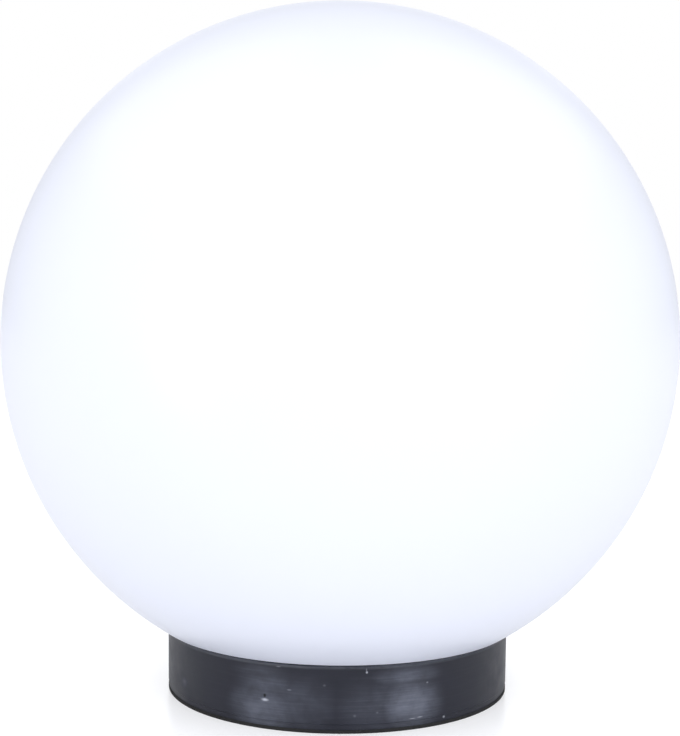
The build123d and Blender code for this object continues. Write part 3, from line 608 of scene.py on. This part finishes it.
def collar_material():
    """Black moulded plastic of the collar: satin skin, scratches, smears with painted sheen over them, a
    painted highlight along the rim, specks, and a ding with a painted glint below and painted shade above.
    """
    material, tree, shader = new_material("collar_plastic")
    place = node(tree, "ShaderNodeTexCoord").outputs["Object"]
    skin = placed_group(tree, moulded_skin, Scale=900.0, Cloud_Scale=160.0)
    wipe = placed_group(tree, wipe_scratches, Fineness=1500.0, Amount=1.0)
    mottle = ranged(tree, skin["Tone"], 0.35, 0.65, 0.60, 1.0)
    streak = ranged(tree, wipe["Streak"], 0.35, 0.65, 0.75, 1.0)
    uneven = maths(tree, "MULTIPLY", mottle, streak)
    # haze of the smears, with the collar's soft highlights painted in as lighter colour
    haze_and_sheen = maths(tree, "MULTIPLY", strongest(tree, place, SMEARS_AND_SHEEN, 1.0), uneven)
    # specks, and the painted glint on the ding's lower lip
    speck = strongest(tree, place, SPECKS_AND_DING_GLINT, 0.95)
    # the scratches show lighter inside the painted sheen
    scratch = maths(tree, "MULTIPLY", wipe["Scratch"], maths(tree, "ADD", haze_and_sheen, 0.12))
    # painted highlight along the rim's rounded edge
    rim = rim_highlight_mask(tree, coordinate(tree, place, "Z"), wipe["Streak"])
    colour = mixed(tree, skin["Tone"], *COLLAR_TONES)
    for mask, share, tint in ((haze_and_sheen, 0.50, HAZE_AND_SHEEN), (scratch, 0.10, SCRATCHED), (rim, 0.26, RIM_HIGHLIGHT_TONE)):
        colour = mixed(tree, maths(tree, "MULTIPLY", mask, share), colour, tint)
    colour = mixed(tree, speck, colour, SPECK_AND_GLINT_TONE)
    colour = mixed(tree, mark_mask(tree, place, DING_SHADE, 0.8), colour, SHADED)
    tree.links.new(colour, shader.inputs["Base Color"])
    gloss = ranged(tree, skin["Tone"], 0.3, 0.7, 0.36, 0.46)
    tree.links.new(maths(tree, "ADD", gloss, maths(tree, "MULTIPLY", haze_and_sheen, 0.15)), shader.inputs["Roughness"])
    shader.inputs["Specular IOR Level"].default_value = 0.30
    dent = mark_mask(tree, place, DING, 0.95)
    height = maths(tree, "MULTIPLY", skin["Height"], 0.010)
    height = maths(tree, "ADD", height, maths(tree, "MULTIPLY", scratch, -0.006))
    height = maths(tree, "ADD", height, maths(tree, "MULTIPLY", dent, -0.35))
    bump(tree, shader, height, 1.0)
    return material


def striped_wire_material():
    """Green insulation with a yellow stripe along the wire."""
    material, tree, shader = new_material("earth_insulation")
    place = node(tree, "ShaderNodeTexCoord").outputs["Object"]
    skin = placed_group(tree, moulded_skin, Scale=900.0, Cloud_Scale=80.0)
    wave = maths(tree, "SINE", maths(tree, "MULTIPLY", coordinate(tree, place, "X"), STRIPE_WAVES))
    stripe = ranged(tree, wave, -0.1, 0.1, 0.0, 1.0)
    colour = mixed(tree, stripe, (0.04, 0.26, 0.05, 1), (0.75, 0.60, 0.03, 1))
    colour = mixed(tree, maths(tree, "MULTIPLY", skin["Tone"], 0.12), colour, (0.02, 0.02, 0.02, 1))
    tree.links.new(colour, shader.inputs["Base Color"])
    shader.inputs["Roughness"].default_value = 0.35
    bump(tree, shader, skin["Height"], 0.01)
    return material


MATERIALS = {
    # plastic: name, darker and lighter tone, roughness, relief, fineness of the grain, dust, specular level
    # metal: name, bright and tarnished tone, roughness, fineness of the working lines
    "opal": opal_material(),
    "collar": collar_material(),
    "foam": plastic("foam_rubber", (0.012, 0.012, 0.013), (0.022, 0.022, 0.023), 0.85, 0.12, 900.0, 0.1, 0.3),
    "rubber": plastic("rubber", (0.014, 0.014, 0.015), (0.024, 0.024, 0.025), 0.65, 0.01, 700, 0.1, 0.4),
    "zinc": metal("zinc_plate", (0.72, 0.73, 0.71), (0.52, 0.53, 0.50), 0.28),
    "brass": metal("brass", (0.83, 0.62, 0.28), (0.55, 0.40, 0.18), 0.24),
    "bronze": metal("spring_bronze", (0.80, 0.52, 0.30), (0.55, 0.34, 0.20), 0.28),
    "tin": metal("tinned_brass", (0.78, 0.77, 0.73), (0.60, 0.58, 0.52), 0.30),
    "nickel": metal("nickel_plate", (0.76, 0.74, 0.69), (0.58, 0.55, 0.48), 0.18, 900.0),
    "cap_metal": metal("bulb_cap_plate", (0.80, 0.80, 0.79), (0.62, 0.62, 0.60), 0.22, 900.0),
    "black_shell": plastic("black_resin", (0.012, 0.012, 0.012), (0.024, 0.024, 0.023), 0.30, 0.002, 500),
    "phenolic": plastic("brown_phenolic", (0.16, 0.075, 0.035), (0.25, 0.13, 0.06), 0.42, 0.006, 500.0),
    "nylon": plastic("natural_nylon", (0.66, 0.64, 0.57), (0.75, 0.73, 0.66), 0.45, 0.004, 500.0),
    "brown_wire": plastic("brown_insulation", (0.14, 0.055, 0.022), (0.19, 0.08, 0.035), 0.38, 0.01, 900.0),
    "blue_wire": plastic("blue_insulation", (0.03, 0.11, 0.42), (0.05, 0.15, 0.50), 0.38, 0.01, 900.0),
    "earth_wire": striped_wire_material(),
    "bulb_white": plastic("white_bulb_body", (0.74, 0.74, 0.72), (0.80, 0.80, 0.78), 0.38, 0.002, 500.0),
    "diffuser": plastic("frosted_diffuser", (0.80, 0.80, 0.79), (0.85, 0.85, 0.84), 0.48, 0.002, 600.0),
    "insulator": plastic("black_insulator", (0.01, 0.01, 0.012), (0.02, 0.02, 0.022), 0.15, 0.004, 500.0),
    "board_white": plastic("white_solder_mask", (0.72, 0.72, 0.70), (0.78, 0.78, 0.76), 0.4, 0.01, 600.0),
    "phosphor": plastic("yellow_phosphor", (0.80, 0.62, 0.06), (0.86, 0.70, 0.12), 0.45, 0.01, 900.0),
    "board_green": plastic("green_solder_mask", (0.02, 0.17, 0.06), (0.03, 0.22, 0.08), 0.32, 0.02, 600.0),
    "can": plastic("capacitor_sleeve", (0.03, 0.035, 0.09), (0.05, 0.055, 0.12), 0.3, 0.01, 600.0),
}

NODE_MATERIALS = {
    "base_housing": "collar",
    "base_gasket": "foam",
    "cable_grommet": "rubber",
    "globe_seal": "rubber",
    "lampholder_bracket": "zinc",
    "nipple_nut": "zinc",
    "nipple_washer": "zinc",
    "earth_eyelet": "tin",
    "holder_cap": "black_shell",
    "holder_skirt": "black_shell",
    "holder_insert": "phenolic",
    "centre_contact": "bronze",
    "side_contact": "bronze",
    "terminal_block": "nylon",
    "terminal_tubes": "brass",
    "wire_line": "brown_wire",
    "wire_neutral": "blue_wire",
    "wire_earth": "earth_wire",
    "bulb_insulator": "insulator",
    "bulb_contact": "tin",
    "led_board": "board_white",
    "led_chips": "phosphor",
    "driver_board": "board_green",
    "driver_capacitor": "can",
    "holder_terminal_screws": "brass",
    "terminal_screws": "zinc",
    "terminal_fixing_screw": "zinc",
    "bracket_screws": "zinc",
    "earth_screw": "brass",
}

ROUNDED_NODES = {
    # node: width of the rounded edge
    "lampholder_bracket": 0.25,
    "nipple_nut": 0.3,
    "terminal_block": 0.3,
    "led_board": 0.12,
    "driver_board": 0.12,
    "centre_contact": 0.08,
    "side_contact": 0.08,
}


def dress_nodes():
    """Gives each solid that stays its finish, and rounds the edges of the pressed and moulded small ones."""
    for name, finish in NODE_MATERIALS.items():
        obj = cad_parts[name]
        obj.data.materials.clear()
        obj.data.materials.append(MATERIALS[finish])
    for name, width in ROUNDED_NODES.items():
        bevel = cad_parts[name].modifiers.new("rounded", "BEVEL")
        bevel.width = width * MM
        bevel.segments = 2
        bevel.limit_method = "ANGLE"
        bevel.angle_limit = math.radians(40)


# ---------------------------------------------------------------- ball
def lug_mesh():
    """One bayonet lug, with a ramp on the corner that leads as it is turned to lock."""
    bm = bmesh.new()
    steps = 22
    inner_r = NECK_R - GLOBE_WALL / 2
    sections = []
    for i in range(steps + 1):
        angle = -LUG_ARC / 2 + LUG_ARC * i / steps
        ahead = max(0.0, 1 - i * LUG_ARC / steps / LUG_RAMP_ARC)
        top = LUG_TOP_Z - LUG_RAMP_DROP * ahead
        a = math.radians(angle)
        corners = ((inner_r, LUG_Z), (LUG_R, LUG_Z), (LUG_R, top), (inner_r, top))
        along = Vector((math.cos(a), math.sin(a), 0))
        sections.append([bm.verts.new((along * r + Vector((0, 0, z))) * MM) for r, z in corners])
    for here, there in zip(sections, sections[1:]):
        for k in range(4):
            bm.faces.new((here[k], here[(k + 1) % 4], there[(k + 1) % 4], there[k]))
    bm.faces.new(sections[0])
    bm.faces.new(sections[-1])
    bmesh.ops.recalc_face_normals(bm, faces=bm.faces)
    bmesh.ops.bevel(
        bm,
        geom=[e for e in bm.edges if e.calc_face_angle(0.0) > 1.0],
        offset=LUG_ROUNDING * MM,
        segments=2,
        affect="EDGES",
    )
    return bm


def ball():
    """Ball, rounded edge, shoulder, neck and lugs as one moulding."""
    low = -edge_angle
    edge_z = SHOULDER_Z + GLOBE_EDGE_R
    chamfer_z = NECK_Z + NECK_CHAMFER
    bore_r = NECK_R - GLOBE_WALL
    corner_z = SHOULDER_Z + GLOBE_WALL - NECK_ROOT_R
    inner_r = GLOBE_R - GLOBE_WALL
    outline = [(0, globe_z + GLOBE_R)]
    outline += arc(0, globe_z, GLOBE_R, 90, low, 96)[1:]
    outline += arc(SHOULDER_R, edge_z, GLOBE_EDGE_R, low, -90, 10)[1:]
    outline += arc(NECK_R + NECK_ROOT_R, SHOULDER_Z - NECK_ROOT_R, NECK_ROOT_R, 90, 180, 6)
    outline += [(NECK_R, chamfer_z), (NECK_R - NECK_CHAMFER, NECK_Z)]
    outline += [(bore_r + NECK_CHAMFER, NECK_Z), (bore_r, chamfer_z)]
    outline += arc(bore_r + NECK_ROOT_R, corner_z, NECK_ROOT_R, 180, 90, 6)
    outline += arc(SHOULDER_R, edge_z, GLOBE_EDGE_R - GLOBE_WALL, -90, low, 8)
    outline += arc(0, globe_z, inner_r, low, 90, 96)[1:-1]
    outline += [(0, globe_z + inner_r)]
    shell = turned_mesh(outline, segments=192, closed=False)
    lugs = []
    for i in range(LUG_COUNT):
        lugs.append(moved(lug_mesh(), turn=Matrix.Rotation(2 * math.pi * i / LUG_COUNT, 4, "Z")))
    piece("opal_ball", merged(shell, *lugs), MATERIALS["opal"], "globe", "globe")


# ---------------------------------------------------------------- bulb
def thread_wave(z, a, pitch):
    """Rounded right-hand thread: 1 on the crest and 0 in the groove."""
    turns = z / pitch - a / (2 * math.pi)
    return 0.5 + 0.5 * math.cos(2 * math.pi * turns)


def fade(z, low, high, run):
    """1 between two heights, falling to 0 outside them over a short run."""
    return max(0.0, min(1.0, (z - low) / run + 1, (high - z) / run + 1))


def steps_between(low, high, step):
    """Evenly spaced heights from low to high."""
    count = max(1, round((high - low) / step))
    return [low + (high - low) * i / count for i in range(count + 1)]


def bulb_cap():
    """Screw cap rolled from sheet, with its rounded thread."""
    def radius(r, z, a):
        if r < CAP_R - SAME_R:
            return r
        depth = THREAD_DEPTH * fade(z, THREAD_START_Z, THREAD_END_Z, THREAD_RUN_OUT)
        return CAP_R - depth * (1 - thread_wave(z, a, THREAD_PITCH))

    inner_r = CAP_R - THREAD_DEPTH - CAP_WALL
    outline = [(CAP_MOUTH_R, CAP_LOW_Z), (CAP_MOUTH_R + CAP_LIP, CAP_LOW_Z)]
    outline += [(CAP_R - CAP_LIP, CAP_LOW_Z + CAP_CURL / 2)]
    outline += [(CAP_R, z) for z in steps_between(CAP_LOW_Z + CAP_CURL, CAP_TOP_Z, THREAD_STEP)]
    outline += [(inner_r, CAP_TOP_Z), (inner_r, CAP_LOW_Z + CAP_CURL + CAP_LIP / 2)]
    outline += [(CAP_MOUTH_R, CAP_LOW_Z + CAP_LIP)]
    bm = turned_mesh(outline, segments=96, radius_at=radius)
    piece("bulb_cap_threaded", bm, MATERIALS["cap_metal"], "bulb_cap", "bulb_cap")


def bulb_body():
    """White body of the bulb, from the spigot in its cap to the rim under the diffuser."""
    length = SEAM_Z - HOUSING_Z
    lean = ((DOME_Z - SEAM_Z) / BULB_R, seam_r / BULB_R)
    spigot_in = HOUSING_SPIGOT_R - HOUSING_WALL
    reach, inner_reach = length * HOUSING_PULL, length * HOUSING_INNER_PULL
    pull = (seam_r - lean[0] * reach, SEAM_Z - lean[1] * reach)
    ledge = (LED_SEAT_R - LED_LEDGE, LED_BOARD_Z - LED_LEDGE)
    inner_pull = (ledge[0] - lean[0] * inner_reach, ledge[1] - lean[1] * inner_reach)
    bend_z = HOUSING_Z + length * HOUSING_BEND
    outline = [(spigot_in, HOUSING_LOW_Z), (HOUSING_SPIGOT_R, HOUSING_LOW_Z), (HOUSING_SPIGOT_R, HOUSING_Z)]
    waist = (HOUSING_WAIST_R, HOUSING_Z + HOUSING_CHAMFER)
    outline += [(HOUSING_WAIST_R - HOUSING_CHAMFER, HOUSING_Z)]
    outline += bezier(waist, (HOUSING_WAIST_R, bend_z), pull, (seam_r, SEAM_Z), 40)
    outline += [(LED_SEAT_R, SEAM_Z), (LED_SEAT_R, LED_BOARD_Z), (ledge[0], LED_BOARD_Z)]
    outline += bezier(ledge, inner_pull, (spigot_in, bend_z), (spigot_in, HOUSING_Z), 30)
    bm = turned_mesh(outline, segments=128)
    piece("bulb_body", bm, MATERIALS["bulb_white"], "bulb", "bulb_housing")


def bulb_diffuser():
    """Frosted dome, with a fine groove at the seam."""
    low = -math.degrees(math.asin((DOME_Z - SEAM_Z) / BULB_R))
    inner_r = BULB_R - DOME_WALL
    inner_low = -math.degrees(math.asin((DOME_Z - SEAM_Z) / inner_r))
    groove_r, groove_z = seam_r - SEAM_GROOVE[0], SEAM_Z + SEAM_GROOVE[1]
    outline = [(0, DOME_Z + BULB_R)]
    outline += arc(0, DOME_Z, BULB_R, 90, low + SEAM_GROOVE_ARC, 56)[1:]
    outline += [(groove_r, groove_z), (groove_r, SEAM_Z)]
    outline += arc(0, DOME_Z, inner_r, inner_low, 90, 56)[:-1]
    outline += [(0, DOME_Z + inner_r)]
    bm = turned_mesh(outline, segments=128, closed=False)
    piece("bulb_diffuser", bm, MATERIALS["diffuser"], "bulb", "bulb_dome")


# ---------------------------------------------------------------- lampholder and fixings
def holder_sleeve():
    """Rolled metal sleeve of the lampholder, threaded to match the bulb's cap."""
    thread_low_z, thread_high_z = THREAD_START_Z - THREAD_LEAD, SHELL_TOP_Z - SHELL_PLAIN_LENGTH
    outer_r, floor_z = SHELL_R + SHELL_WALL, SHELL_LOW_Z + SHELL_WALL

    def radius(r, z, a):
        if abs(r - SHELL_R) > SAME_R:
            return r
        ridge = THREAD_DEPTH * fade(z, thread_low_z, thread_high_z, THREAD_RUN_OUT)
        return SHELL_R - ridge * (1 - thread_wave(z, a, THREAD_PITCH))

    outline = [(SHELL_LIP_R, SHELL_LOW_Z), (outer_r, SHELL_LOW_Z), (outer_r, SHELL_TOP_Z)]
    outline += [(SHELL_R, z) for z in steps_between(SHELL_TOP_Z, floor_z, THREAD_STEP)]
    outline += [(SHELL_LIP_R, floor_z)]
    bm = turned_mesh(outline, segments=96, radius_at=radius)
    piece("holder_sleeve", bm, MATERIALS["nickel"], "base", "holder_shell")


def nipple():
    """Hollow threaded tube through the bracket."""
    low, high = (v.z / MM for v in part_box("holder_nipple"))
    cut = NIPPLE_CHAMFER

    def radius(r, z, a):
        if r < NIPPLE_R - SAME_R:
            return r
        depth = NIPPLE_THREAD_DEPTH * fade(z, low + 2 * cut, high - 2 * cut, NIPPLE_RUN_OUT)
        return NIPPLE_R - depth * (1 - thread_wave(z, a, NIPPLE_PITCH))

    outline = [(NIPPLE_BORE_R, low), (NIPPLE_R - cut, low)]
    outline += [(NIPPLE_R, z) for z in steps_between(low + cut, high - cut, NIPPLE_PITCH / 8)]
    outline += [(NIPPLE_R - cut, high), (NIPPLE_BORE_R, high)]
    bm = turned_mesh(outline, segments=56, radius_at=radius)
    piece("nipple_threaded", bm, MATERIALS["zinc"], "base", "holder_nipple")


def screw_mesh(head_r, head_h, shank_r, shank_l, pitch, recess):
    """A domed screw with its head's seat at height 0, a threaded shank, and a cross or a slot."""
    crown = head_h * 0.35
    sphere_r = (head_r**2 + crown**2) / (2 * crown)
    sweep = math.degrees(math.asin(head_r / sphere_r))
    depth = shank_r * 0.16

    def radius(r, z, a):
        if z > -0.2 or abs(r - shank_r) > SAME_R:
            return r
        return r - depth * (1 - thread_wave(z, a, pitch)) * fade(z, 0.8 - shank_l, -0.8, SCREW_RUN_OUT)

    outline = [(0, -shank_l), (shank_r * 0.6, -shank_l)]
    outline += [(shank_r, z) for z in steps_between(0.5 - shank_l, -0.05, pitch / 8)]
    outline += [(shank_r, 0), (head_r - SCREW_EDGE, 0), (head_r, SCREW_EDGE), (head_r, head_h - crown)]
    outline += arc(0, head_h - sphere_r, sphere_r, 90 - sweep, 90, 10)[1:-1]
    outline += [(0, head_h)]
    bm = turned_mesh(outline, segments=40, closed=False, radius_at=radius)
    length, turns = (head_r * 1.15, (0, 90)) if recess == "cross" else (head_r * 3, (0,))
    cutters = []
    for turn in turns:
        cutter = box_mesh(length, head_r * 0.26, head_h * 1.2, 0.8)
        cutters.append(moved(cutter, z=head_h, turn=Matrix.Rotation(math.radians(turn), 4, "Z")))
    return carved(bm, *cutters)


SCREWS = {
    # node: (places, seat height, head radius, head height, shank radius, length, pitch, recess, finish, turn)
    "bracket_screws": (((-30, 0), (30, 0)), 11.2, 3.6, 2.2, 1.8, 7.0, 1.4, "cross", "zinc", 25.0),
    "earth_screw": (((14.2, 0),), 18.5, 3.2, 2.0, 1.9, 5.0, 0.7, "slot", "brass", 40.0),
    "terminal_fixing_screw": (((5, -26),), 12.2, 2.2, 1.4, 1.2, 9.6, 1.0, "cross", "zinc", 10.0),
}


def screws():
    """The screws with heads, each in place of its plain solid."""
    for name, (places, seat, head_r, head_h, shank_r, length, pitch, recess, finish, turn) in SCREWS.items():
        parts = []
        for i, (x, y) in enumerate(places):
            spin = Matrix.Rotation(math.radians(turn + 50 * i), 4, "Z")
            parts.append(moved(screw_mesh(head_r, head_h, shank_r, length, pitch, recess), x, y, seat, spin))
        piece(name + "_detailed", merged(*parts), MATERIALS[finish], "base", name)


def clamp_screws():
    """Slotted grub screws down in the terminal block's wells."""
    low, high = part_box("terminal_screws")
    low_z, high_z = low.z / MM, high.z / MM
    radius = CLAMP_SCREW_R
    parts = []
    for i, x in enumerate(CLAMP_SCREW_XS):
        for k, y in enumerate(CLAMP_SCREW_YS):
            outline = [(0, low_z), (radius - 0.3, low_z), (radius, low_z + 0.3), (radius, high_z - 0.2)]
            outline += [(radius - 0.2, high_z), (0, high_z)]
            body = turned_mesh(outline, segments=32, closed=False)
            turn = Matrix.Rotation(0.7 + 1.1 * i + 0.6 * k, 4, "Z")
            slot = moved(box_mesh(*CLAMP_SLOT), z=high_z, turn=turn)
            parts.append(moved(carved(body, slot), x, y))
    piece("clamp_screws", merged(*parts), MATERIALS["zinc"], "base", "terminal_screws")


# ---------------------------------------------------------------- stage, lights and camera
def stage():
    """Pale floor that runs out past the view, and is clear from below so that the underside shows."""
    bm = bmesh.new()
    bmesh.ops.create_circle(bm, cap_ends=True, segments=96, radius=FLOOR_R)
    mesh = bpy.data.meshes.new("floor")
    bm.to_mesh(mesh)
    bm.free()
    material, tree, shader = new_material("pale_floor")
    shader.inputs["Base Color"].default_value = FLOOR_COLOUR
    shader.inputs["Roughness"].default_value = 0.25
    shader.inputs["Emission Color"].default_value = (1, 1, 1, 1)
    seen = node(tree, "ShaderNodeLightPath").outputs["Is Camera Ray"]
    tree.links.new(ranged(tree, seen, 0, 1, FLOOR_GLOW, FLOOR_WHITE), shader.inputs["Emission Strength"])
    clear = node(tree, "ShaderNodeBsdfTransparent")
    choice = node(tree, "ShaderNodeMixShader")
    tree.links.new(node(tree, "ShaderNodeNewGeometry").outputs["Backfacing"], choice.inputs[0])
    tree.links.new(shader.outputs[0], choice.inputs[1])
    tree.links.new(clear.outputs[0], choice.inputs[2])
    tree.links.new(choice.outputs[0], tree.nodes["Material Output"].inputs["Surface"])
    mesh.materials.append(material)
    floor = bpy.data.objects.new("floor", mesh)
    bpy.context.scene.collection.objects.link(floor)


def area_light(name, azimuth, elevation, distance, width, height, power):
    """A soft box that faces the light, placed by azimuth from the front and elevation."""
    data = bpy.data.lights.new(name, "AREA")
    data.shape = "RECTANGLE"
    data.size, data.size_y = width, height
    data.energy = power
    lamp = bpy.data.objects.new(name, data)
    a, e = math.radians(azimuth), math.radians(elevation)
    aim = Vector((0, 0, globe_z * MM * LIGHT_AIM))
    towards = Vector((math.sin(a) * math.cos(e), -math.cos(a) * math.cos(e), math.sin(e)))
    lamp.location = aim + distance * towards
    lamp.rotation_euler = (lamp.location - aim).to_track_quat("Z", "Y").to_euler()
    lamp.visible_camera = False
    bpy.context.scene.collection.objects.link(lamp)


def surround():
    """White behind the light for the camera, and a soft sky for its lighting, brightest in front."""
    world = bpy.data.worlds.new("studio_surround")
    world.use_nodes = True
    tree = world.node_tree
    sky = tree.nodes["Background"]
    direction = node(tree, "ShaderNodeTexCoord").outputs["Generated"]
    from_front = ranged(tree, coordinate(tree, direction, "Y"), -0.9, 0.6, SKY_FRONT, SKY_BACK)
    tree.links.new(from_front, sky.inputs["Strength"])
    sky.inputs["Color"].default_value = SKY_COLOUR
    white = node(tree, "ShaderNodeBackground", Color=(1, 1, 1, 1), Strength=1.0)
    seen = node(tree, "ShaderNodeLightPath").outputs["Is Camera Ray"]
    choice = node(tree, "ShaderNodeMixShader")
    tree.links.new(seen, choice.inputs[0])
    tree.links.new(sky.outputs[0], choice.inputs[1])
    tree.links.new(white.outputs[0], choice.inputs[2])
    tree.links.new(choice.outputs[0], tree.nodes["World Output"].inputs["Surface"])
    bpy.context.scene.world = world


def studio():
    """White surround, two soft boxes in front for the collar's sheen, and large fills."""
    surround()
    bpy.context.scene.view_settings.view_transform = "Standard"
    for name, azimuth, width, power in SOFT_BOXES:
        area_light(name, azimuth, SOFT_BOX_ELEVATION, SOFT_BOX_DISTANCE, width, SOFT_BOX_HEIGHT, power)
    for name, azimuth, elevation, power in FILLS:
        area_light(name, azimuth, elevation, FILL_DISTANCE, FILL_SIZE, FILL_SIZE, power)


def camera():
    """The photograph's viewpoint."""
    data = bpy.data.cameras.new("camera")
    data.lens = CAMERA_LENS
    data.sensor_width = CAMERA_SENSOR
    data.clip_start, data.clip_end = 0.01, 50
    cam = bpy.data.objects.new("camera", data)
    rise = math.radians(CAMERA_RISE)
    back = CAMERA_DISTANCE * math.cos(rise)
    place = Vector((0, -back, globe_z + CAMERA_DISTANCE * math.sin(rise))) * MM
    tilt = Matrix.Rotation(math.radians(90 - CAMERA_PITCH), 4, "X")
    roll = Matrix.Rotation(math.radians(CAMERA_ROLL), 4, "Z")
    cam.matrix_world = Matrix.Translation(place) @ tilt @ roll
    bpy.context.scene.collection.objects.link(cam)
    bpy.context.scene.camera = cam


dress_nodes()
ball()
bulb_cap()
bulb_body()
bulb_diffuser()
holder_sleeve()
nipple()
screws()
clamp_screws()
stage()
studio()
camera()
